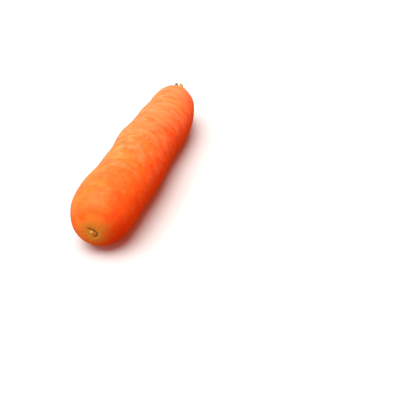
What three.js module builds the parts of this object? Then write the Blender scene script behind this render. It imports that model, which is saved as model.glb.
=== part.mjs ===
// Carrot: a Nantes-type taproot lying on its side, with the trimmed stubs of its leaf stalks.
//
// Millimetres, +Z up. +X runs along the root towards its tip. The origin is on the resting
// surface, under the middle of the object's box. The root is one solid: a lathed outline whose
// rings are carried along a gently bent centre line, with a narrow flat where it lies. Each outer
// stub is a short curved sheath that stands in the shallow hollow at the crown, and three thin
// round ones, the youngest leaves, stand inside them.
import * as THREE from "three";

// Driving dimensions of the root
const ROOT_LENGTH = 170; // crown rim to tip
const BELLY_RADIUS = 16.9; // at the thickest place, near the middle
const CROWN_RADIUS = 16.4; // where the shoulder has levelled out
const TIP_RADIUS = 16.6; // where the blunt end starts to round off
const OVALNESS = 0.01; // how far a ring departs from a circle, as a share of its radius
const OVAL_TWIST = 0.03; // turn of the oval along the root, in radians for each millimetre
const REST_FLAT_DEPTH = 0.5; // how far the underside is pressed flat where it lies

// Crown hollow and leaf-stalk stubs
const HOLLOW_RADIUS = 5;
const HOLLOW_DEPTH = 1.3;
const STUB_GAP = 0.3; // clearance between a stub and the root
const STUB_WIDTH = 2.5;
const STUB_THICKNESS = 1.7;
// Control heights of a stub's crescent section, outward, as shares of its thickness
const SECTION_EDGE = -0.35;
const SECTION_BACK = 0.75;
const SECTION_HOLLOW = 0.15;
const STUB_RING_RADIUS = 3; // from the crown's axis to the middle of a stub
const STUB_FOOT = HOLLOW_DEPTH - STUB_GAP; // how far below the rim a stub starts
const STUBS = [
  // clock angle around the crown at the foot and at the top (0 is +Y, 90 is up), height above
  // the rim, outward lean in degrees, and size of the section at the top as a share of that at
  // the foot
  { foot: 4, top: 39, height: 9.8, lean: 6, taper: 0.82 },
  { foot: 63, top: 77, height: 10.9, lean: 10.2, taper: 1.18 },
  { foot: 122, top: 111, height: 10.8, lean: 14, taper: 0.9 },
  { foot: 182, top: 176, height: 8, lean: 14, taper: 0.82 },
  { foot: 241, top: 236, height: 6.4, lean: 13, taper: 0.9 },
  { foot: 302, top: 308, height: 7.2, lean: 13, taper: 0.75 },
];
const HEART_RADIUS = 0.55; // half the thickness of a young stub
const HEART_RING_RADIUS = 1;
const HEART_STUBS = [
  // clock angle around the crown, height above the rim
  { angle: 20, height: 5 },
  { angle: 140, height: 6.2 },
  { angle: 260, height: 3.6 },
];

// Mesh fineness, in points and steps
const RING_POINTS = 40;
const RINGS_PER_OUTLINE_POINT = 3;

// Outline of the root as [distance from the crown rim, radius], from the hollow to the tip.
const OUTLINE = [
  [HOLLOW_DEPTH, 0],
  [HOLLOW_DEPTH, HOLLOW_RADIUS - 0.8],
  [HOLLOW_DEPTH * 0.4, HOLLOW_RADIUS],
  [0, HOLLOW_RADIUS + 1.2],
  [1.6, 8.3],
  [5, 10.4],
  [9, 12],
  [16, 14.3],
  [27, 15.8],
  [40, CROWN_RADIUS],
  [60, CROWN_RADIUS + 0.3],
  [84, BELLY_RADIUS],
  [106, BELLY_RADIUS - 0.1],
  [ROOT_LENGTH - 42, TIP_RADIUS],
  [ROOT_LENGTH - 28, TIP_RADIUS - 0.1],
  [ROOT_LENGTH - 18, 16],
  [ROOT_LENGTH - 11, 14.9],
  [ROOT_LENGTH - 6.5, 13.1],
  [ROOT_LENGTH - 3.5, 11],
  [ROOT_LENGTH - 1.5, 8],
  [ROOT_LENGTH - 0.4, 4.2],
  [ROOT_LENGTH, 0],
];

// Sideways sweep of the centre line as [distance from the crown rim, offset along Y].
const SWEEP = [
  [-12, -7],
  [0, -5.3],
  [14, -3.6],
  [28, -2],
  [45, -0.3],
  [88, -0.3],
  [106, 0.7],
  [122, 1],
  [146, 0.3],
  [ROOT_LENGTH + 2, 0.4],
];

// A smooth curve through the given [along, across] points, read by distance along.
function curveThrough(points) {
  const curve = new THREE.SplineCurve(points.map(([along, across]) => new THREE.Vector2(along, across)));
  const samples = curve.getPoints(points.length * 24);
  return (along) => {
    const next = samples.findIndex((sample) => sample.x >= along);
    if (next <= 0) return samples[next < 0 ? samples.length - 1 : 0].y;
    const [low, high] = [samples[next - 1], samples[next]];
    return THREE.MathUtils.mapLinear(along, low.x, high.x, low.y, high.y);
  };
}

const sweepAt = curveThrough(SWEEP);
const restingRadiusAt = curveThrough([
  [-12, CROWN_RADIUS],
  [40, CROWN_RADIUS],
  [84, BELLY_RADIUS],
  [128, TIP_RADIUS],
  [ROOT_LENGTH + 2, TIP_RADIUS],
]);

// The point of the centre line at a distance from the crown rim, and its frame there.
function centreAt(along) {
  return new THREE.Vector3(along, sweepAt(along), restingRadiusAt(along) - REST_FLAT_DEPTH);
}

function frameAt(along) {
  const forward = centreAt(along + 1).sub(centreAt(along - 1)).normalize();
  const side = new THREE.Vector3(0, 1, 0).addScaledVector(forward, -forward.y).normalize();
  const up = new THREE.Vector3().crossVectors(forward, side);
  return { origin: centreAt(along), side, up };
}

// Carries a point given as (side, along, up) of a straight root onto the bent centre line.
function bend(point) {
  const { origin, side, up } = frameAt(point.y);
  return origin.addScaledVector(side, point.x).addScaledVector(up, point.z);
}

function mapVertices(geometry, change) {
  const position = geometry.getAttribute("position");
  const point = new THREE.Vector3();
  for (let index = 0; index < position.count; index += 1) {
    point.fromBufferAttribute(position, index);
    position.setXYZ(index, ...change(point).toArray());
  }
  geometry.computeVertexNormals();
  return geometry;
}

// The root: the outline turned about its axis, made slightly oval, bent, and pressed flat below.
function makeTaproot() {
  const outline = new THREE.SplineCurve(OUTLINE.map(([along, radius]) => new THREE.Vector2(radius, along)));
  const profile = outline.getPoints((OUTLINE.length - 1) * RINGS_PER_OUTLINE_POINT);
  const lathe = new THREE.LatheGeometry(profile.reverse(), RING_POINTS); // tip first, faces outward
  return mapVertices(lathe, (point) => {
    const clock = Math.atan2(point.z, point.x);
    const swell = 1 + OVALNESS * Math.cos(2 * clock + point.y * OVAL_TWIST);
    const placed = bend(new THREE.Vector3(point.x * swell, point.y, point.z * swell));
    placed.z = Math.max(placed.z, 0);
    return placed;
  });
}

// Places a stub's point, given as (across, outward, up the stub), on the crown at a clock angle.
function placeOnCrown(across, radial, climb, angle) {
  const turn = THREE.MathUtils.degToRad(angle);
  const side = radial * Math.cos(turn) - across * Math.sin(turn);
  const up = radial * Math.sin(turn) + across * Math.cos(turn);
  return bend(new THREE.Vector3(side, STUB_FOOT - climb, up));
}

// One outer stub: a crescent section, hollow side towards the crown's axis, leaning outwards.
function makeStub({ foot, top, height, lean, taper }) {
  const half = STUB_WIDTH / 2;
  const edge = STUB_THICKNESS * SECTION_EDGE;
  const back = STUB_THICKNESS * SECTION_BACK;
  const section = new THREE.Shape();
  section.moveTo(-half, edge);
  section.quadraticCurveTo(-half, back, 0, back);
  section.quadraticCurveTo(half, back, half, edge);
  section.quadraticCurveTo(0, STUB_THICKNESS * SECTION_HOLLOW, -half, edge);
  const length = height + STUB_FOOT;
  const stub = new THREE.ExtrudeGeometry(section, {
    depth: length,
    steps: 4,
    curveSegments: 5,
    bevelEnabled: false,
  });
  const outward = Math.tan(THREE.MathUtils.degToRad(lean));
  return mapVertices(stub, (point) => {
    const rise = point.z / length;
    const scale = THREE.MathUtils.lerp(1, taper, rise);
    const radial = STUB_RING_RADIUS + point.y * scale + outward * point.z * rise;
    const angle = THREE.MathUtils.lerp(foot, top, rise * rise);
    return placeOnCrown(point.x * scale, radial, point.z, angle);
  });
}

// One young stub in the heart of the crown: round in section, upright.
function makeHeartStub({ angle, height }) {
  const section = new THREE.Shape();
  section.absarc(0, 0, HEART_RADIUS, 0, 2 * Math.PI, false);
  const length = height + STUB_FOOT;
  const stub = new THREE.ExtrudeGeometry(section, {
    depth: length,
    steps: 2,
    curveSegments: 8,
    bevelEnabled: false,
  });
  return mapVertices(stub, (point) =>
    placeOnCrown(point.x, HEART_RING_RADIUS + point.y, point.z, angle),
  );
}

const rootMaterial = new THREE.MeshStandardMaterial({ color: 0xf26b21, roughness: 0.45, metalness: 0 });
const stubMaterial = new THREE.MeshStandardMaterial({ color: 0x8f8432, roughness: 0.75, metalness: 0 });

const carrot = new THREE.Group();

const taproot = new THREE.Mesh(makeTaproot(), rootMaterial);
taproot.name = "taproot";
carrot.add(taproot);

STUBS.forEach((shape, index) => {
  const stub = new THREE.Mesh(makeStub(shape), stubMaterial);
  stub.name = `leaf_stub_${index + 1}`;
  carrot.add(stub);
});

HEART_STUBS.forEach((shape, index) => {
  const stub = new THREE.Mesh(makeHeartStub(shape), stubMaterial);
  stub.name = `heart_stub_${index + 1}`;
  carrot.add(stub);
});

// Stand the group on z = 0 with the middle of its box over the origin.
const box = new THREE.Box3().setFromObject(carrot, true);
carrot.position.set(-(box.min.x + box.max.x) / 2, -(box.min.y + box.max.y) / 2, -box.min.z);

export default carrot;
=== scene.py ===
# %% [markdown]
# # A fresh carrot on a pale table
#
# The object is one blunt Nantes-type carrot, washed and with its leaves trimmed to short stubs.
# It lies on its side: +X runs along the root towards its tip, and Z is 0 on the table.
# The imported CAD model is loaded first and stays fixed. It gives every size and place used below:
# the fine surfaces are cast from it, and then take the furrows, scars and fibres that a lathe lacks.

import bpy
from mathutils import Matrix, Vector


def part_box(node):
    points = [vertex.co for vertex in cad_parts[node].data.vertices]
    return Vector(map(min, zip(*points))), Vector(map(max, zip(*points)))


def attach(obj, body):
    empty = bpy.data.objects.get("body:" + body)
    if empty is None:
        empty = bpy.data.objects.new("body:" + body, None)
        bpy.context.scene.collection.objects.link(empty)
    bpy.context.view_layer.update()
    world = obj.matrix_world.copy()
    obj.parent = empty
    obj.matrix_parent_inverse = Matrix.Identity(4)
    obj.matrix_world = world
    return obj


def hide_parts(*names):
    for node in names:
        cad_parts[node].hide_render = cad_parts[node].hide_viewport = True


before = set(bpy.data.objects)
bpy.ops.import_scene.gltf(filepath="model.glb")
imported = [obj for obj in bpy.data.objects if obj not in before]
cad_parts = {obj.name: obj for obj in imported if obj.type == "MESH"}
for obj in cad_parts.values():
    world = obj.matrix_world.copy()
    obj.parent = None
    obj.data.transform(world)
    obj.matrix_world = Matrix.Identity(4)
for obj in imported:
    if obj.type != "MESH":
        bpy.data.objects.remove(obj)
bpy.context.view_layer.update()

# %% Modules, the unit, and where random draws come from
import math

import bpy
import numpy as np
from mathutils import Vector, noise
from mathutils.bvhtree import BVHTree

MM = 0.001  # one millimetre in metres
draw = np.random.default_rng(20)  # one seeded source, so every run gives the same carrot
print("Blender", bpy.app.version_string)

# %% [markdown]
# ## Camera
#
# The viewer stands beyond the root's tip and to one side of it, and looks down at 33 degrees, so
# the blunt tip comes forward and the crown lies at the back. A 45 mm lens on a 36 mm sensor gives
# the mild foreshortening of a close table-top shot. The aim is a point on the table beside the
# carrot, because the carrot lies up and to the left of the middle of the frame.

# %% Place the camera
SIGHT_HEADING = math.radians(-166.3)  # where the camera looks on the table, turned from +X
SIGHT_DOWN = math.radians(33)
AIM_POINT = Vector((29.6, 38.7, 0)) * MM
CAMERA_DISTANCE = 283 * MM

sight = Vector((
    math.cos(SIGHT_HEADING) * math.cos(SIGHT_DOWN),
    math.sin(SIGHT_HEADING) * math.cos(SIGHT_DOWN),
    -math.sin(SIGHT_DOWN),
))
camera = bpy.data.objects.new("camera", bpy.data.cameras.new("camera"))
camera.data.lens = 45
camera.data.sensor_width = 36
camera.data.clip_start = 10 * MM
camera.location = AIM_POINT - sight * CAMERA_DISTANCE
camera.rotation_euler = sight.to_track_quat("-Z", "Y").to_euler()
bpy.context.scene.collection.objects.link(camera)
bpy.context.scene.camera = camera
print("camera at", [round(place / MM) for place in camera.location], "mm")

# %% [markdown]
# ## Table and light
#
# The studio is plain: one wide soft lamp overhead, a little to the left of the root, and a room
# that is white on that side. The lamp is a sun lamp spread over 60 degrees, so its shadow is soft,
# and the table is equally bright all the way to the horizon. The room's other side is dim and
# warm, as if more carrots lay there and sent their light back: that keeps the shaded flank a deep
# red-orange and not grey. The table is hidden from bounced and mirrored light for the same reason:
# its white would grey that flank from below. Seen straight, the whole room is white. The view
# transform is Standard, because a film-like one would grey the white table and dull the orange.

# %% A helper for colours, written as in a paint program
def linear_colour(hex_code):
    """An sRGB hex colour as linear red, green, blue and alpha."""
    channels = [int(hex_code[at:at + 2], 16) / 255 for at in (0, 2, 4)]
    linear = [c / 12.92 if c <= 0.04045 else ((c + 0.055) / 1.055) ** 2.4 for c in channels]
    return (*linear, 1.0)


# %% A helper for nodes
def add_node(tree, kind, inputs=None, **settings):
    """Adds a node. settings are its own properties. inputs gives each input a value, or an
    output of another node to link from."""
    node = tree.nodes.new(kind)
    for name, value in settings.items():
        setattr(node, name, value)
    for name, value in (inputs or {}).items():
        if isinstance(value, bpy.types.NodeSocket):
            tree.links.new(value, node.inputs[name])
        else:
            node.inputs[name].default_value = value
    return node


# %% Paint the room
BRIGHT_SIDE = Vector((0.1, -0.72, 0.6)).normalized()  # left of the camera and up
DIM_UNTIL = -0.15  # cosine of the angle from the middle of the bright side
BRIGHT_FROM = 0.8
ROOM_BRIGHT = (1.0, 1.0, 1.0, 1.0)  # linear colours, as they are strengths of light
ROOM_DIM = (0.6, 0.12, 0.02, 1.0)

bpy.context.scene.view_settings.view_transform = "Standard"
room = bpy.data.worlds.new("white_room")
room.use_nodes = True
bpy.context.scene.world = room
sky = room.node_tree
direction = add_node(sky, "ShaderNodeTexCoord").outputs["Generated"]
lampward = add_node(
    sky,
    "ShaderNodeVectorMath",
    {0: direction, 1: BRIGHT_SIDE},
    operation="DOT_PRODUCT",
).outputs["Value"]
brightness = add_node(
    sky,
    "ShaderNodeMapRange",
    {"Value": lampward, "From Min": DIM_UNTIL, "From Max": BRIGHT_FROM},
    interpolation_type="SMOOTHSTEP",
).outputs["Result"]
glow = add_node(
    sky,
    "ShaderNodeMix",
    {0: brightness, 6: ROOM_DIM, 7: ROOM_BRIGHT},
    data_type="RGBA",
).outputs[2]
is_backdrop = add_node(sky, "ShaderNodeLightPath").outputs["Is Camera Ray"]
seen = add_node(
    sky,
    "ShaderNodeMix",
    {0: is_backdrop, 6: glow, 7: linear_colour("ffffff")},
    data_type="RGBA",
).outputs[2]
sky.links.new(seen, sky.nodes["Background"].inputs["Color"])
white_angle = math.degrees(math.acos(BRIGHT_FROM))
print("room is fully white within", round(white_angle), "degrees of its bright side's middle")

# %% Hang the lamp
LAMP_DIRECTION = Vector((0.12, -0.2, 0.96)).normalized()
LAMP_SPREAD = math.radians(60)
LAMP_STRENGTH = 4.9  # watts per square metre

lamp = bpy.data.objects.new("soft_lamp", bpy.data.lights.new("soft_lamp", "SUN"))
lamp.data.angle = LAMP_SPREAD
lamp.data.energy = LAMP_STRENGTH
lamp.rotation_euler = (-LAMP_DIRECTION).to_track_quat("-Z", "Y").to_euler()
bpy.context.scene.collection.objects.link(lamp)
print("lamp", round(math.degrees(math.asin(LAMP_DIRECTION.z))), "degrees above the table")

# %% Lay the table
TABLE_HALF_WIDTH = 60.0  # metres, so that its edge lies at the horizon
TABLE_DROP = 0.05 * MM  # keeps the table from flickering through the flat the root lies on

corners = [(-1, -1), (1, -1), (1, 1), (-1, 1)]
table_mesh = bpy.data.meshes.new("table")
table_mesh.from_pydata(
    [(x * TABLE_HALF_WIDTH, y * TABLE_HALF_WIDTH, -TABLE_DROP) for x, y in corners],
    [],
    [(0, 1, 2, 3)],
)
table = bpy.data.objects.new("table", table_mesh)
bpy.context.scene.collection.objects.link(table)
table.visible_diffuse = False  # no bounced light from it on the root
table.visible_glossy = False  # and no mirror image of it in the skin
print("table", round(2 * TABLE_HALF_WIDTH), "m wide")

# %% [markdown]
# ### White laminate
#
# The table is a matt laminate board. It gives the eye an even, nearly neutral white and a soft
# shadow, and no mirror image of the root. Its own colour is a light grey: the lamp lifts it to
# white.

# %% Face the table with laminate
laminate = bpy.data.materials.new("white_laminate")
laminate.use_nodes = True
laminate_shader = laminate.node_tree.nodes["Principled BSDF"]
laminate_shader.inputs["Base Color"].default_value = linear_colour("c6c4c2")
laminate_shader.inputs["Roughness"].default_value = 0.6
laminate_shader.inputs["Specular IOR Level"].default_value = 0.2
table.data.materials.append(laminate)
print("table faced with", laminate.name)

# %% [markdown]
# ## The root's centre line
#
# A carrot is a lathed shape bent a little, so its surface is easiest to describe from a bent
# centre line. The CAD root is sliced by casting rays from inside it: sideways for the middle of
# the slice, and upwards for its height. A polynomial through the slices gives a smooth line.
# Near each end the rays fan out from one point instead, like the end of a capsule.

# %% Slice the CAD root
END_FAN_DEPTH = 16 * MM  # how far inside each end its rays fan out from, about one radius
SLICES = 40
SIDEWAYS_DEGREE = 6  # of the polynomial for the line's sideways bends
HEIGHT_DEGREE = 3

root_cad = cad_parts["taproot"].data
root_tree = BVHTree.FromPolygons(
    [vertex.co for vertex in root_cad.vertices],
    [face.vertices for face in root_cad.polygons],
)
root_low, root_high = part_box("taproot")


def wall_distance(origin, direction):
    """How far the CAD root's wall is from a point inside it."""
    return root_tree.ray_cast(origin, direction)[3]


slice_x = np.linspace(root_low.x + END_FAN_DEPTH, root_high.x - END_FAN_DEPTH, SLICES)
slice_y = []
slice_z = []
for x in slice_x:
    inside = Vector((x, 0, (root_low.z + root_high.z) / 2))
    right = wall_distance(inside, Vector((0, 1, 0)))
    left = wall_distance(inside, Vector((0, -1, 0)))
    middle = inside + Vector((0, (right - left) / 2, 0))
    top = middle.z + wall_distance(middle, Vector((0, 0, 1)))
    slice_y.append(middle.y)
    slice_z.append(top - (right + left) / 2)
centre_y = np.polynomial.Polynomial.fit(slice_x, slice_y, SIDEWAYS_DEGREE)
centre_z = np.polynomial.Polynomial.fit(slice_x, slice_z, HEIGHT_DEGREE)
print("centre line swings over", round(float(np.ptp(slice_y)) / MM, 1), "mm sideways")

# %% Frames along the centre line
def centre_at(x):
    """The centre line's point at x."""
    return Vector((x, centre_y(x), centre_z(x)))


def frame_at(x):
    """The line's direction at x, and the sideways and upward directions across it."""
    forward = Vector((1, centre_y.deriv()(x), centre_z.deriv()(x))).normalized()
    side = (Vector((0, 1, 0)) - forward * forward.y).normalized()
    return forward, side, forward.cross(side)


crown_forward = frame_at(slice_x[0])[0]
crown_turn = math.degrees(math.atan2(crown_forward.y, crown_forward.x))
print("crown axis turns", round(crown_turn, 1), "degrees")

# %% [markdown]
# ## Casting the fine surface
#
# The furrows of a carrot are half a millimetre to a millimetre wide and run round it, so the mesh
# is a grid of rings: about 0.3 mm apart along the root, and 0.6 mm between points around it. Each
# point's distance from the centre line is cast against the faceted CAD root and then blurred over
# about the width of a facet, which leaves a round, smooth root of the CAD's size.

# %% Cast the grid
POINTS_AROUND = 172
BODY_RINGS = 400
END_RINGS = 84
POLE_CROWDING = 1.3  # above 1 brings an end's rings closer together towards its pole

end_share = (np.arange(1, END_RINGS + 1) / END_RINGS) ** (1 / POLE_CROWDING)
end_angles = np.radians(90) * end_share  # 0 across the root, 90 degrees at the pole
ring_x = np.concatenate([
    np.full(END_RINGS, slice_x[0]),
    np.linspace(slice_x[0], slice_x[-1], BODY_RINGS),
    np.full(END_RINGS, slice_x[-1]),
])
ring_lean = np.concatenate([-end_angles[::-1], np.zeros(BODY_RINGS), end_angles])
clock = np.radians(-90 + 360 * np.arange(POINTS_AROUND) / POINTS_AROUND)  # starts underneath

origins = []
directions = []
for x, lean in zip(ring_x, ring_lean):
    forward, side, up = frame_at(x)
    for angle in clock:
        outward = side * math.cos(angle) + up * math.sin(angle)
        origins.append(centre_at(x))
        directions.append(outward * math.cos(lean) + forward * math.sin(lean))
grid_shape = (len(ring_x), POINTS_AROUND)
cast = [wall_distance(origin, direction) for origin, direction in zip(origins, directions)]
radius = np.array(cast).reshape(grid_shape)
origins = np.array(origins).reshape(*grid_shape, 3)
directions = np.array(directions).reshape(*grid_shape, 3)
print("grid of", grid_shape, "points, radius up to", round(radius.max() / MM, 2), "mm")

# %% Blur away the facets
def blur(field, reach, axis):
    """A Gaussian blur by reach grid steps: round the ring (axis 1) or along the root (axis 0)."""
    steps = np.arange(-math.ceil(3 * reach), math.ceil(3 * reach) + 1)
    weights = np.exp(-0.5 * (steps / reach) ** 2)
    padding = [(0, 0), (0, 0)]
    padding[axis] = (len(steps) // 2, len(steps) // 2)
    padded = np.pad(field, padding, mode="wrap" if axis == 1 else "edge")
    size = field.shape[axis]
    shifted = [np.take(padded, range(at, at + size), axis=axis) for at in range(len(steps))]
    return sum(weight * part for weight, part in zip(weights / weights.sum(), shifted))


CAD_FACETS = 40  # round the CAD root
FACET_BLUR = POINTS_AROUND / CAD_FACETS / 2  # half a facet, in points round a ring
RING_BLUR = 3  # in rings
radius = blur(blur(radius, FACET_BLUR, 1), RING_BLUR, 0)
print("radius after the blur up to", round(radius.max() / MM, 2), "mm")

# %% Coordinates on the skin, in millimetres
# along: distance down the centre line from the crown's end. across_mm: distance from that line.
# side_mm and up_mm: the place across it, as if the root were straight.
centre_steps = np.linalg.norm(np.diff(origins[:, 0], axis=0), axis=1)
centre_length = np.concatenate([[0], np.cumsum(centre_steps)])[:, None]
lean = ring_lean[:, None]
along = (END_FAN_DEPTH + centre_length + radius * np.sin(lean)) / MM
across_mm = radius * np.cos(lean) / MM
side_mm = across_mm * np.cos(clock)
up_mm = across_mm * np.sin(clock)
ROOT_LENGTH = float(along.max())
print("root", round(ROOT_LENGTH, 1), "mm long, up to", round(2 * across_mm.max(), 1), "mm thick")

# %% [markdown]
# ## Furrows and growth scars
#
# A carrot's skin is ringed. As the root thickens, the skin splits in fine lines across it and
# heals into pale corky ridges with grooves between them, crowded and deep in the crown half,
# fewer and fainter near the tip. Each line goes part of the way round, wavers, and fades at both
# ends. A noise pattern can't give lines that start, run and stop, so they are drawn one by one, as
# soft strokes on the grid, with their places drawn at random and denser towards the crown.

# %% A soft stroke round part of the root
def smooth_rise(low, high, value):
    """0 below low, 1 above high, and an S-curve between."""
    share = np.clip((value - low) / (high - low), 0, 1)
    return share * share * (3 - 2 * share)


WAVER_LENGTH = 4.5  # mm round the root for a radian of a line's waver
ROW_SPREAD = 1.5  # mm, by which the points of a ring can differ in their distance along the root


def stroke(along_at, clock_at, half_length, half_width, tilt=0.0, waver=0.0):
    """The rows it touches, and its strength there: 1 on the line, fading to 0. Sizes are in mm,
    and clock_at is in degrees, 0 at the side and 90 on top."""
    margin = 3 * half_width + abs(tilt) * half_length + waver
    near = np.abs(along.mean(axis=1) - along_at) < margin + ROW_SPREAD
    turned = (clock - math.radians(clock_at) + math.pi) % (2 * math.pi) - math.pi
    run = turned * np.maximum(across_mm[near], 1)
    line = along_at + tilt * run + waver * np.sin(run / WAVER_LENGTH + along_at)
    across_line = np.exp(-(((along[near] - line) / half_width) ** 2))
    return near, across_line * np.exp(-((run / half_length) ** 4))


# %% Draw the furrows and the pale ridges
FURROWS = 360
FURROW_RELIEF = -0.24  # mm
RIDGES = 340
RIDGE_RELIEF = 0.16
CROWN_MARGIN = 4  # mm left without lines at the crown
TIP_MARGIN = 6  # and at the tip

height = np.zeros(grid_shape)  # how far the skin stands out, in mm
furrow = np.zeros(grid_shape)  # 0 to 1, for the colour
ridge = np.zeros(grid_shape)
lined_length = ROOT_LENGTH - (CROWN_MARGIN + TIP_MARGIN)
line_kinds = ((FURROWS, FURROW_RELIEF, furrow), (RIDGES, RIDGE_RELIEF, ridge))
for count, relief, mark in line_kinds:
    for _ in range(count):
        place = CROWN_MARGIN + lined_length * draw.beta(1.0, 1.9)  # denser towards the crown
        fading = 1 - 0.6 * smooth_rise(70, 130, place)  # fainter towards the tip
        strength = draw.uniform(0.3, 1) * fading
        near, line = stroke(
            place,
            draw.uniform(0, 360),
            half_length=draw.uniform(2.5, 16),
            half_width=draw.uniform(0.28, 0.5),
            tilt=draw.normal(0, 0.03),
            waver=draw.uniform(0, 0.35),
        )
        height[near] += relief * strength * line
        mark[near] = np.maximum(mark[near], strength * line)
print("relief from", round(height.min(), 2), "to", round(height.max(), 2), "mm")

# %% [markdown]
# ## Lenticels, pits and lumps
#
# The fine side roots once grew in four rows down the root. Where one was, the skin has a lenticel:
# a short slit with raised lips. A washed carrot also has a few small pits and pale flecks, and its
# body is never quite round: it swells and narrows in broad soft places, listed one by one, and finer
# lumps and wrinkles come from noise, stretched round the root for the wrinkles.

# %% Lenticels in four rows
LENTICEL_ROWS = (20, 108, 205, 290)  # clock angles, in degrees
ROW_SCATTER = 11  # degrees
LIP_HALF_WIDTH = 0.85  # mm
LIP_HEIGHT = 0.08
SLIT_HALF_WIDTH = 0.3
SLIT_DEPTH = 0.22

lenticel = np.zeros(grid_shape)
for row_clock in LENTICEL_ROWS:
    place = draw.uniform(6, 12)
    while place < ROOT_LENGTH - 12:
        around = row_clock + draw.normal(0, ROW_SCATTER)
        long = draw.uniform(0.8, 2.2)
        near_lips, lips = stroke(place, around, long + 0.5, LIP_HALF_WIDTH)
        near_slit, slit = stroke(place, around, long, SLIT_HALF_WIDTH)
        height[near_lips] += LIP_HEIGHT * lips
        height[near_slit] -= SLIT_DEPTH * slit
        lenticel[near_slit] = np.maximum(lenticel[near_slit], slit)
        place += draw.uniform(5, 15)
print(int((lenticel > 0.5).sum()), "grid points lie in lenticels")

# %% Pits and pale flecks
PITS = 24
PIT_DEPTH = 0.18  # mm
FLECKS = 150
FLECK_HEIGHT = 0.05


def round_mark(along_at, clock_at, size):
    """1 in the middle of a round mark, fading to 0 at about twice its size in mm."""
    turned = (clock - math.radians(clock_at) + math.pi) % (2 * math.pi) - math.pi
    run = turned * across_mm
    return np.exp(-((along - along_at) ** 2 + run**2) / size**2)


pit = np.zeros(grid_shape)
fleck = np.zeros(grid_shape)
for _ in range(PITS):
    place = draw.uniform(12, ROOT_LENGTH - 8)
    mark = round_mark(place, draw.uniform(0, 360), draw.uniform(0.35, 0.6))
    pit = np.maximum(pit, mark)
for _ in range(FLECKS):
    place = draw.uniform(40, ROOT_LENGTH - 6)
    mark = round_mark(place, draw.uniform(0, 360), draw.uniform(0.45, 1.0))
    fleck = np.maximum(fleck, mark * draw.uniform(0.3, 1))
height -= PIT_DEPTH * pit
height += FLECK_HEIGHT * fleck
print(int((pit > 0.5).sum()), "grid points lie in pits")

# %% Lumps and wrinkles
straight = np.stack([along, side_mm, up_mm], axis=-1)  # the skin of the straightened root, in mm


def skin_noise(along_size, around_size, shift):
    """Smooth noise from -1 to 1 over the skin, with that feature size in mm each way. Each shift
    gives another pattern."""
    places = straight / (along_size, around_size, around_size) + shift
    return np.array([noise.noise(place) for place in places.reshape(-1, 3)]).reshape(grid_shape)


# Each swelling: how far along the root, its clock angle, its distance from the centre line, how
# far it reaches, and how far it stands out, in mm and degrees. A negative one is a hollow.
SWELLINGS = [
    (12, 103, 14, 9, 0.55),
    (55, 139, 16, 11, 0.8),
    (92, 140, 17, 9, 0.9),
    (120, 142, 17, 8, 0.4),
    (145, 142, 16, 8, 0.4),
    (163, 180, 14, 8, -0.6),
    (168, 268, 10, 8, 0.7),
    (160, -45, 15, 9, 0.4),
    (133, -32, 17, 7, -0.4),
    (110, -29, 17, 9, 0.2),
    (73, -30, 17, 9, -0.35),
]
LUMP_HEIGHT = 0.15  # mm
BAND_HEIGHT = 0.16
WRINKLE_HEIGHT = 0.13
OUTLINE_ALLOWANCE = 0.05  # keeps the swellings inside the CAD outline

for place, clock_at, off_axis, reach, rise in SWELLINGS:
    to_side = side_mm - off_axis * math.cos(math.radians(clock_at))
    to_up = up_mm - off_axis * math.sin(math.radians(clock_at))
    height += rise * np.exp(-((along - place) ** 2 + to_side**2 + to_up**2) / reach**2)

crownward = 1 - 0.7 * smooth_rise(60, 135, along)  # the tip half is smoother
height += LUMP_HEIGHT * skin_noise(22, 16, 3.7)
height += BAND_HEIGHT * crownward * skin_noise(4.5, 22, 11.3)
height += WRINKLE_HEIGHT * crownward * skin_noise(1.7, 9, 29.1)
height -= OUTLINE_ALLOWANCE
print("relief now from", round(height.min(), 2), "to", round(height.max(), 2), "mm")

# %% [markdown]
# ## The blunt tip
#
# A Nantes root stops short: the thin tail breaks off and leaves a small scar, a little below the
# middle of the end. The pale stump of the tail sits in a shallow dimple, a dark hooked groove runs
# over and round it, and the skin puckers towards it. The end is cast as a fan of rings, so the
# scar is drawn by place across the end: sideways and up, in mm from the middle of the scar.

# %% Distance from the groove's path across the end
SCAR_SIDE, SCAR_UP = 0.1, -1.1  # middle of the scar, off the centre line, in mm
GROOVE_PATH = [(-1.7, 2.1), (0.2, 1.3), (1.5, 0.3), (2.0, -0.9), (1.5, -1.9), (0.6, -2.3)]

at_tip = smooth_rise(ROOT_LENGTH - 14, ROOT_LENGTH - 8, along)
scar_side = side_mm - SCAR_SIDE
scar_up = up_mm - SCAR_UP
scar_distance = np.hypot(scar_side, scar_up)
groove_distance = np.full(grid_shape, np.inf)
for (start_side, start_up), (end_side, end_up) in zip(GROOVE_PATH[:-1], GROOVE_PATH[1:]):
    run_side, run_up = end_side - start_side, end_up - start_up
    run_squared = run_side**2 + run_up**2
    share = ((scar_side - start_side) * run_side + (scar_up - start_up) * run_up) / run_squared
    share = np.clip(share, 0, 1)
    gap = np.hypot(scar_side - start_side - share * run_side, scar_up - start_up - share * run_up)
    groove_distance = np.minimum(groove_distance, gap)
print("groove drawn through", len(GROOVE_PATH), "points")

# %% Shape the tail scar, with sizes in mm
STUMP_SIDE, STUMP_UP = -0.5, -0.1  # middle of the stump, off the middle of the scar
STUMP_RADIUS = 0.7
STUMP_HEIGHT = 0.45
GROOVE_HALF_WIDTH = 0.62
GROOVE_DEPTH = 0.35
GROOVE_UNEVENNESS = 0.4
STUMP_UNEVENNESS = 0.3
DIMPLE_RADIUS = 3.2
DIMPLE_DEPTH = 0.45
PUCKER_FOLDS = 13
PUCKER_HEIGHT = 0.05

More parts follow.
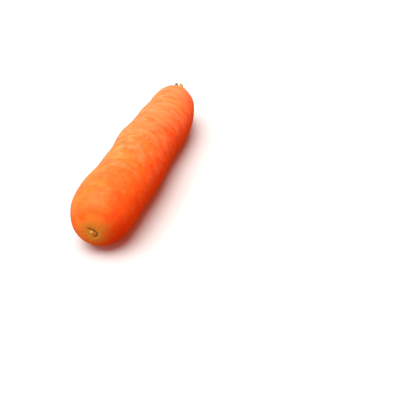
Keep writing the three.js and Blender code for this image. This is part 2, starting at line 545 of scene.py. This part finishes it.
torn = skin_noise(0.9, 0.9, 83.1)
uneven_distance = groove_distance + GROOVE_UNEVENNESS * torn
scar_groove = at_tip * np.exp(-((uneven_distance / GROOVE_HALF_WIDTH) ** 2))
stump_distance = np.hypot(scar_side - STUMP_SIDE, scar_up - STUMP_UP) + STUMP_UNEVENNESS * torn
stump = at_tip * (1 - smooth_rise(STUMP_RADIUS * 0.7, STUMP_RADIUS * 1.5, stump_distance))
scar_clock = np.arctan2(scar_up, scar_side)
pucker_reach = smooth_rise(1.5, 2.5, scar_distance) * (1 - smooth_rise(3, 8, scar_distance))
pucker = at_tip * pucker_reach * np.cos(PUCKER_FOLDS * scar_clock + 2 * np.sin(scar_clock + 1))

height -= DIMPLE_DEPTH * at_tip * np.exp(-((scar_distance / DIMPLE_RADIUS) ** 2))
height -= GROOVE_DEPTH * scar_groove
height += STUMP_HEIGHT * stump
height += PUCKER_HEIGHT * pucker
print("stump of the tail", 2 * STUMP_RADIUS, "mm across")

# %% [markdown]
# ## The crown
#
# The shoulder round the leaf stubs is smooth at first glance, but carries faint rings: the scars
# of older leaf bases, close together near the hollow. They are waves in the distance from the
# crown's axis, bent by a little noise so that they aren't compass circles. Inside them the core
# is rough.

# %% Shape the crown rings
CROWN_RING_SPACING = 1.5  # mm
CROWN_RING_HEIGHT = 0.09
CORE_RELIEF = 0.12

at_crown = 1 - smooth_rise(3, 9, along)
from_axis = across_mm + 0.6 * skin_noise(5, 4, 41.9)
crown_waves = np.cos(2 * math.pi * from_axis / CROWN_RING_SPACING)
crown_rings = at_crown * crown_waves * (1 - smooth_rise(7, 10.5, across_mm))
height += CROWN_RING_HEIGHT * crown_rings
crown_core = at_crown * (1 - smooth_rise(4.2, 7.5, from_axis))
height += CORE_RELIEF * crown_core * skin_noise(1.2, 1.2, 57.3)
print("final relief from", round(height.min(), 2), "to", round(height.max(), 2), "mm")

# %% Helpers for meshes
def new_object(name, mesh_points, faces, material):
    """A smooth mesh object that rides on the carrot's body. Points are in metres."""
    mesh = bpy.data.meshes.new(name)
    mesh.from_pydata(mesh_points, [], faces)
    mesh.shade_smooth()
    mesh.materials.append(material)
    made = bpy.data.objects.new(name, mesh)
    bpy.context.scene.collection.objects.link(made)
    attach(made, "root")
    return made


def store(mesh, name, values):
    """Keeps a number or a place for each of the mesh's points, for its material to read."""
    values = np.asarray(values, np.float32)
    kind, key = ("FLOAT", "value") if values.ndim == 1 else ("FLOAT_VECTOR", "vector")
    layer = mesh.attributes.new(name, kind, "POINT")
    layer.data.foreach_set(key, values.ravel())


def tube_faces(rings, around):
    """Quads between closed rings of points, with a fan onto one more point at each end."""
    first_pole = rings * around
    faces = []
    for ring in range(rings - 1):
        for at in range(around):
            after = (at + 1) % around
            low, high = ring * around, (ring + 1) * around
            faces.append((low + at, low + after, high + after, high + at))
    for at in range(around):
        after = (at + 1) % around
        faces.append((first_pole, after, at))
        faces.append((first_pole + 1, (rings - 1) * around + at, (rings - 1) * around + after))
    return faces


# %% A helper for layers of colour
def lay_colours(tree, colour, layers, seen):
    """Lays colours over each other. Each layer: the pattern that shows it, the values where it
    starts and is full, how much it covers at most, the pattern that limits it or None, and its
    colour. seen holds each pattern's output by name."""
    for shown_by, start, full, most, limit, over in layers:
        cover = add_node(
            tree,
            "ShaderNodeMapRange",
            {"Value": seen[shown_by], "From Min": start, "From Max": full, "To Max": most},
        ).outputs["Result"]
        if limit:
            cover = add_node(
                tree,
                "ShaderNodeMath",
                {0: cover, 1: seen[limit]},
                operation="MULTIPLY",
            ).outputs[0]
        colour = add_node(
            tree,
            "ShaderNodeMix",
            {0: cover, 6: colour, 7: over},
            data_type="RGBA",
        ).outputs[2]
    return colour


# %% [markdown]
# ## Carrot skin
#
# Carrot skin is a thin, moist, slightly waxy layer over juicy flesh. Light enters the flesh and
# comes back redder, so the material scatters a few millimetres below the surface. The wet cells
# have an IOR of about 1.4. Brushing leaves a satin surface that breaks up its reflections, so the
# specular level is low and there is no sharp highlight.
# The colour is layered from what the skin shows: soft mottling between yellow-orange and
# red-orange, salmon patches and pale lines on the corky ridges, red-orange in the furrows, a
# deeper orange in the lenticels and pits, pale flecks, and a tan crown. Round the tail scar lies an
# ochre halo; its groove is brown and its stump tan. One layer is painted light, not skin: the
# shoulder near the crown is paler on its +Y side, as if white light fell on it there.
# Patterns use the straightened root's coordinates, so streaks follow the rings round the bend.

# %% Fields that the skin's colours follow, from 0 to 1
halo_distance = scar_distance + 2.2 * skin_noise(3.5, 3.5, 71.7)  # with an uneven edge
# Painted light: the +Y side of the shoulder near the crown is made paler, as if white light fell
# there.
painted_light_side = smooth_rise(-0.1, 0.8, np.cos(clock - math.radians(5)))  # towards +Y
skin_fields = {
    "furrow": furrow,
    "ridge": ridge,
    "lenticel": lenticel,
    "pit": pit,
    "fleck": fleck,
    "crown_half": 1 - 0.85 * smooth_rise(55, 125, along),
    "tip_half": smooth_rise(45, 100, along),
    "all_but_tip": 1 - 0.8 * smooth_rise(115, 150, along),
    "tip_halo": at_tip * (1 - smooth_rise(1.5, 12.5, halo_distance)),
    "scar_groove": scar_groove,
    "stump": stump,
    "crown_core": crown_core,
    # painted light: paler on the +Y side of the shoulder near the crown
    "painted_light_on_shoulder": (1 - smooth_rise(14, 44, along)) * painted_light_side,
}
print(len(skin_fields), "fields on the skin")

# %% Read the patterns of the skin
# Each pattern is noise over the straightened root: its feature size along and round the root in
# mm, and its detail.
PATTERNS = {
    "mottle": (4.5, 5, 3),
    "warm_patches": (15, 12, 3),
    "streaks": (1.4, 12, 3),
    "bands": (3.4, 13, 3),
    "salmon_patches": (5, 7, 3),
    "grain": (1.6, 2.0, 4),
    "speckle": (0.8, 0.9, 2),
    "gloss": (2.2, 6, 3),
    "wrinkles": (0.8, 4, 3),
    "pores": (0.45, 0.5, 2),
}

skin = bpy.data.materials.new("moist_carrot_skin")
skin.use_nodes = True
tree = skin.node_tree
shader = tree.nodes["Principled BSDF"]
straight_place = add_node(tree, "ShaderNodeAttribute", attribute_name="straight").outputs["Vector"]
seen_on_skin = {}
for name, (along_size, around_size, detail) in PATTERNS.items():
    sizes = (1 / along_size, 1 / around_size, 1 / around_size)
    scaled = add_node(tree, "ShaderNodeMapping", {"Vector": straight_place, "Scale": sizes})
    texture = add_node(
        tree,
        "ShaderNodeTexNoise",
        {"Vector": scaled.outputs["Vector"], "Scale": 1.0, "Detail": detail, "Roughness": 0.55},
    )
    seen_on_skin[name] = texture.outputs["Fac"]
for name in skin_fields:
    seen_on_skin[name] = add_node(tree, "ShaderNodeAttribute", attribute_name=name).outputs["Fac"]
print(len(PATTERNS), "noise patterns for the skin")

# %% Lay the colours over each other
ORANGE = linear_colour("fb5e14")
YELLOW_ORANGE = linear_colour("fc6b17")
RED_ORANGE = linear_colour("f04c0e")
PALE_CORK = linear_colour("ff8656")
FURROW_RED = linear_colour("e44008")
PIT_ORANGE = linear_colour("d24e12")
TIP_OCHRE = linear_colour("c49a38")
SCAR_BROWN = linear_colour("7c5424")
STUMP_TAN = linear_colour("cfa862")
CROWN_TAN = linear_colour("b0803a")

LAYERS = (
    ("mottle", 0.42, 0.6, 0.95, None, RED_ORANGE),
    ("warm_patches", 0.42, 0.64, 0.9, None, YELLOW_ORANGE),
    ("grain", 0.42, 0.66, 0.5, None, YELLOW_ORANGE),
    ("grain", 0.5, 0.28, 0.5, "tip_half", RED_ORANGE),
    ("salmon_patches", 0.48, 0.62, 0.5, "all_but_tip", PALE_CORK),
    ("bands", 0.45, 0.62, 0.6, "crown_half", PALE_CORK),
    ("streaks", 0.47, 0.68, 0.7, "crown_half", PALE_CORK),
    # painted light: the shoulder's +Y side made paler, as if lit by white light
    ("painted_light_on_shoulder", 0.0, 1.0, 0.75, None, PALE_CORK),
    ("ridge", 0.0, 1.0, 0.6, None, PALE_CORK),
    ("furrow", 0.0, 1.0, 0.6, None, FURROW_RED),
    ("fleck", 0.0, 1.0, 0.75, None, PALE_CORK),
    ("speckle", 0.53, 0.72, 0.55, "all_but_tip", PALE_CORK),
    ("lenticel", 0.0, 1.0, 0.6, None, PIT_ORANGE),
    ("pit", 0.0, 1.0, 0.8, None, PIT_ORANGE),
    ("tip_halo", 0.0, 1.0, 0.85, None, TIP_OCHRE),
    ("scar_groove", 0.15, 0.9, 0.9, None, SCAR_BROWN),
    ("stump", 0.1, 0.9, 1.0, None, STUMP_TAN),
    ("crown_core", 0.0, 1.0, 0.8, None, CROWN_TAN),
)

colour = lay_colours(tree, ORANGE, LAYERS, seen_on_skin)
tree.links.new(colour, shader.inputs["Base Color"])
print(len(LAYERS), "layers of colour on the skin")

# %% Gloss and the finest relief of the skin
GLOSS_ROUGHNESS = (0.4, 0.56)  # of the moist and the dry patches
WRINKLE_DEPTH = 0.2 * MM
PORE_DEPTH = 0.08 * MM
FLESH_DEPTH = 2.5 * MM  # how far red light travels in the flesh; green and blue go less far

roughness = add_node(
    tree,
    "ShaderNodeMapRange",
    {
        "Value": seen_on_skin["gloss"],
        "From Min": 0.3,
        "From Max": 0.7,
        "To Min": GLOSS_ROUGHNESS[0],
        "To Max": GLOSS_ROUGHNESS[1],
    },
)
tree.links.new(roughness.outputs["Result"], shader.inputs["Roughness"])
wrinkle_bump = add_node(
    tree,
    "ShaderNodeBump",
    {"Height": seen_on_skin["wrinkles"], "Strength": 0.7, "Distance": WRINKLE_DEPTH},
)
pore_bump = add_node(
    tree,
    "ShaderNodeBump",
    {
        "Height": seen_on_skin["pores"],
        "Strength": 0.5,
        "Distance": PORE_DEPTH,
        "Normal": wrinkle_bump.outputs["Normal"],
    },
)
tree.links.new(pore_bump.outputs["Normal"], shader.inputs["Normal"])
shader.inputs["IOR"].default_value = 1.4
shader.inputs["Specular IOR Level"].default_value = 0.15
shader.inputs["Subsurface Weight"].default_value = 0.35
shader.inputs["Subsurface Radius"].default_value = (1.0, 0.3, 0.08)
shader.inputs["Subsurface Scale"].default_value = FLESH_DEPTH
print("skin roughness from", GLOSS_ROUGHNESS[0], "to", GLOSS_ROUGHNESS[1])

# %% Put the skin on the root
placed = origins + directions * (radius + height * MM)[..., None]
placed[..., 2] = np.maximum(placed[..., 2], 0)  # the side it lies on is pressed flat
inner = placed[1:-1].reshape(-1, 3)  # the first and last ring are single points, the poles
poles = [placed[0].mean(axis=0), placed[-1].mean(axis=0)]
rings = grid_shape[0] - 2
root = new_object(
    "carrot_root",
    [*inner.tolist(), *[pole.tolist() for pole in poles]],
    tube_faces(rings, POINTS_AROUND),
    skin,
)


def on_points(values):
    """A grid field as the mesh's points hold it: the rings between the poles, then the poles."""
    return np.concatenate([values[1:-1].reshape(-1), [values[0].mean()], [values[-1].mean()]])


for name, values in skin_fields.items():
    store(root.data, name, on_points(values))
straight_points = np.stack([on_points(straight[..., axis]) for axis in range(3)], axis=-1)
store(root.data, "straight", straight_points)
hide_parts("taproot")
print("root mesh has", len(root.data.polygons), "faces")

# %% A map of the skin, cut open along the underside
unwrapped = root.data.uv_layers.new(name="OFBake")
corner_place = []
for ring in range(rings - 1):
    for at in range(POINTS_AROUND):
        for across, down in ((at, ring), (at + 1, ring), (at + 1, ring + 1), (at, ring + 1)):
            corner_place.append((across / POINTS_AROUND, (down + 1) / (rings + 1)))
last_ring = rings / (rings + 1)
for at in range(POINTS_AROUND):
    here, after = at / POINTS_AROUND, (at + 1) / POINTS_AROUND
    corner_place += [((here + after) / 2, 0), (after, 1 / (rings + 1)), (here, 1 / (rings + 1))]
    corner_place += [((here + after) / 2, 1), (here, last_ring), (after, last_ring)]
unwrapped.data.foreach_set("uv", np.array(corner_place, np.float32).ravel())
print(len(corner_place), "corners unwrapped")

# %% [markdown]
# ## Leaf stubs
#
# Each leaf of a carrot grows from a stalk whose base clasps the crown: a thin crescent in
# section, hollow towards the middle, ribbed lengthwise by its fibres. The youngest leaves in the
# middle are thin and round. The leaves are cut off about a centimetre above the root, and the
# stubs dry to olive, straw and brown. Each stub is a bent tube of such sections, run from the CAD
# stub's foot to its top, with a slightly sunken cut at the end.

# %% Measure a CAD stub
crown_pole = Vector(poles[0])
STUB_SEAT = 0.6 * MM  # how far a stub's foot goes below the CAD foot, into the crown
FOOT_SLICE = 0.2 * MM  # points this near to the foot's end are measured as the foot
TOP_SLICE = 0.4 * MM


def outward_from_axis(place):
    """The direction from the crown's axis straight out to a place."""
    outward = place - crown_pole
    return (outward - crown_forward * outward.dot(crown_forward)).normalized()


def measure_stub(node):
    """The foot and top of a CAD stub, its width and thickness at the foot, how far its back lies
    outside its middle, and its taper."""
    places = np.array([vertex.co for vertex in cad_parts[node].data.vertices])
    depth = (places - np.array(crown_pole)) @ np.array(crown_forward)
    foot_points = places[depth > depth.max() - FOOT_SLICE]
    top_points = places[depth < depth.min() + TOP_SLICE]
    foot, top = Vector(foot_points.mean(axis=0)), Vector(top_points.mean(axis=0))
    outward = outward_from_axis(foot)
    width = np.ptp(foot_points @ np.array(crown_forward.cross(outward)))
    thickness = np.ptp(foot_points @ np.array(outward))
    top_width = np.ptp(top_points @ np.array(crown_forward.cross(outward_from_axis(top))))
    back = np.max(foot_points @ np.array(outward)) - foot.dot(outward)
    return foot, top, float(width), float(thickness), float(back), float(top_width / width)


# %% Shape one stub
AROUND_STUB = 48  # points round a stub
UP_STUB = 34  # rings from its foot to its cut
RIBS = 7
CREST_POWER = 4.4  # the higher, the flatter the crescent's back and the sharper its edges
HOLLOW_SHARE = 0.23  # of the stub's thickness that its hollow side takes
RIB_SHARE = 0.05
FOOT_FLARE = 0.25  # how much wider the foot is, as a share
RAGGEDNESS = 0.22  # mm, how far the cut is uneven up and down at most
RAGGED_SIZE = 0.6 * MM  # how wide its uneven places are
# The rings of the cut, from its rim inwards: share of the section, and height in mm.
CUT_RINGS = ((0.9, 0.03), (0.78, -0.1), (0.5, -0.22), (0.25, -0.25))


def section_of(is_round, width, thickness, back):
    """Sideways and outward places round a stub's section: a ring, or a crescent."""
    around = 2 * math.pi * np.arange(AROUND_STUB) / AROUND_STUB
    across = np.cos(around)
    if is_round:
        return 0.5 * width * across, 0.5 * thickness * np.sin(around)
    outer_side = back - thickness * np.abs(across) ** CREST_POWER
    inner_side = back - thickness * (1 - HOLLOW_SHARE * (1 - across**2))
    ribbing = RIB_SHARE * thickness * np.cos(RIBS * math.pi * across / 2) * np.sin(around)
    return 0.5 * width * across, np.where(np.sin(around) > 0, outer_side, inner_side) + ribbing


def stub_points(foot, top, section, taper, cut_slope):
    """Points from the foot to the cut, each with its rise, how far it lies inside the cut's rim,
    and its place in mm."""
    axis = -crown_forward
    climb = (top - foot).dot(axis) + STUB_SEAT
    across, outwards = section
    levels = [(rise, 1.0, 0.0) for rise in np.linspace(0, 1, UP_STUB)]
    levels += [(1.0, share, sunk) for share, sunk in CUT_RINGS]
    rows = []
    for rise, share, sunk in levels:
        middle = foot.lerp(top, rise**2)
        middle += axis * (climb * rise - STUB_SEAT - (middle - foot).dot(axis))
        outward = outward_from_axis(middle)
        sideways = crown_forward.cross(outward)
        flare = (1 + FOOT_FLARE * math.exp(-9 * rise) + (taper - 1) * rise) * share
        for x, y in zip(across * flare, outwards * flare):
            ragged = RAGGEDNESS * noise.noise(Vector((x, y, climb)) / RAGGED_SIZE)
            lift = (cut_slope * x + (ragged + sunk) * MM) * rise**8  # felt only near the cut
            place = middle + outward * y + sideways * x + axis * lift
            rows.append((place, rise, 1 - share, (x / MM, y / MM, climb * rise / MM)))
    return rows


# %% [markdown]
# ### Dried leaf stalk
#
# The stalk is fibrous plant tissue, dried from green: dull, with darker lines between its
# lengthwise fibres, brown where it has dried most, and a thin dark rim round the paler pith of
# the cut. Dry fibre has an IOR near 1.5 and hardly any gloss. Fibres are about 0.3 mm apart.

# %% Build a leaf-stalk material
FIBRE_SIZES = (0.3, 0.3, 6)  # mm across the stub and along it
BLOTCH_SIZES = (1.6, 1.6, 2.5)
FIBRE_DEPTH = 0.1 * MM


def make_stalk_material(name, fresh, dry, pith):
    """Dried leaf stalk in three colours: the side, its dried parts, and the cut end."""
    stalk = bpy.data.materials.new(name)
    stalk.use_nodes = True
    nodes = stalk.node_tree
    place = add_node(nodes, "ShaderNodeAttribute", attribute_name="stalk_place").outputs["Vector"]
    seen = {}
    for field in ("rise", "cut"):
        seen[field] = add_node(nodes, "ShaderNodeAttribute", attribute_name=field).outputs["Fac"]
    for pattern, sizes in (("fibres", FIBRE_SIZES), ("blotches", BLOTCH_SIZES)):
        scale = [1 / size for size in sizes]
        scaled = add_node(nodes, "ShaderNodeMapping", {"Vector": place, "Scale": scale})
        texture = add_node(
            nodes,
            "ShaderNodeTexNoise",
            {"Vector": scaled.outputs["Vector"], "Scale": 1.0, "Detail": 3.0},
        )
        seen[pattern] = texture.outputs["Fac"]
    dried = linear_colour(dry)
    layers = (
        ("blotches", 0.42, 0.72, 0.8, None, dried),
        ("fibres", 0.45, 0.7, 0.5, None, dried),
        ("rise", 0.86, 1.0, 0.5, None, dried),
        ("cut", 0.12, 0.3, 0.9, None, linear_colour(pith)),
    )
    colour = lay_colours(nodes, linear_colour(fresh), layers, seen)
    fibre_bump = add_node(
        nodes,
        "ShaderNodeBump",
        {"Height": seen["fibres"], "Strength": 0.7, "Distance": FIBRE_DEPTH},
    )
    surface = nodes.nodes["Principled BSDF"]
    nodes.links.new(colour, surface.inputs["Base Color"])
    nodes.links.new(fibre_bump.outputs["Normal"], surface.inputs["Normal"])
    surface.inputs["Roughness"].default_value = 0.75
    surface.inputs["IOR"].default_value = 1.5
    surface.inputs["Subsurface Weight"].default_value = 0.1
    surface.inputs["Subsurface Scale"].default_value = 0.8 * MM
    return stalk


olive_stalk = make_stalk_material("olive_dried_stalk", "6a6022", "3e3514", "a3924e")
straw_stalk = make_stalk_material("straw_dried_stalk", "ac9430", "7c661c", "e6d48e")
brown_stalk = make_stalk_material("brown_dried_stalk", "5c4a20", "30240e", "8c7440")
print("stalk finishes:", [stalk.name for stalk in (olive_stalk, straw_stalk, brown_stalk)])

# %% Make the nine stubs
STUB_FINISHES = {
    "leaf_stub_1": brown_stalk,
    "leaf_stub_2": straw_stalk,
    "leaf_stub_3": olive_stalk,
    "leaf_stub_4": olive_stalk,
    "leaf_stub_5": brown_stalk,
    "leaf_stub_6": olive_stalk,
    "heart_stub_1": straw_stalk,
    "heart_stub_2": straw_stalk,
    "heart_stub_3": olive_stalk,
}
STEEPEST_CUT = 0.12  # rise of the cut per mm across the stub

for node, finish in STUB_FINISHES.items():
    foot, top, width, thickness, back, taper = measure_stub(node)
    rows = stub_points(
        foot,
        top,
        section_of(node.startswith("heart"), width, thickness, back),
        taper,
        cut_slope=draw.uniform(-STEEPEST_CUT, STEEPEST_CUT),
    )
    places, rises, cuts, stalk_places = zip(*rows)
    first_middle = sum(places[:AROUND_STUB], Vector()) / AROUND_STUB
    last_middle = sum(places[-AROUND_STUB:], Vector()) / AROUND_STUB
    stub = new_object(
        f"dried_{node}",
        [*places, first_middle, last_middle],
        [face[::-1] for face in tube_faces(len(rows) // AROUND_STUB, AROUND_STUB)],
        finish,
    )
    store(stub.data, "rise", [*rises, 0, 1])
    store(stub.data, "cut", [*cuts, 0, 1])
    store(stub.data, "stalk_place", [*stalk_places, stalk_places[0], stalk_places[-1]])
    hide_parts(node)
    print(stub.name, "is", round(width / MM, 1), "x", round(thickness / MM, 1), "mm at its foot")
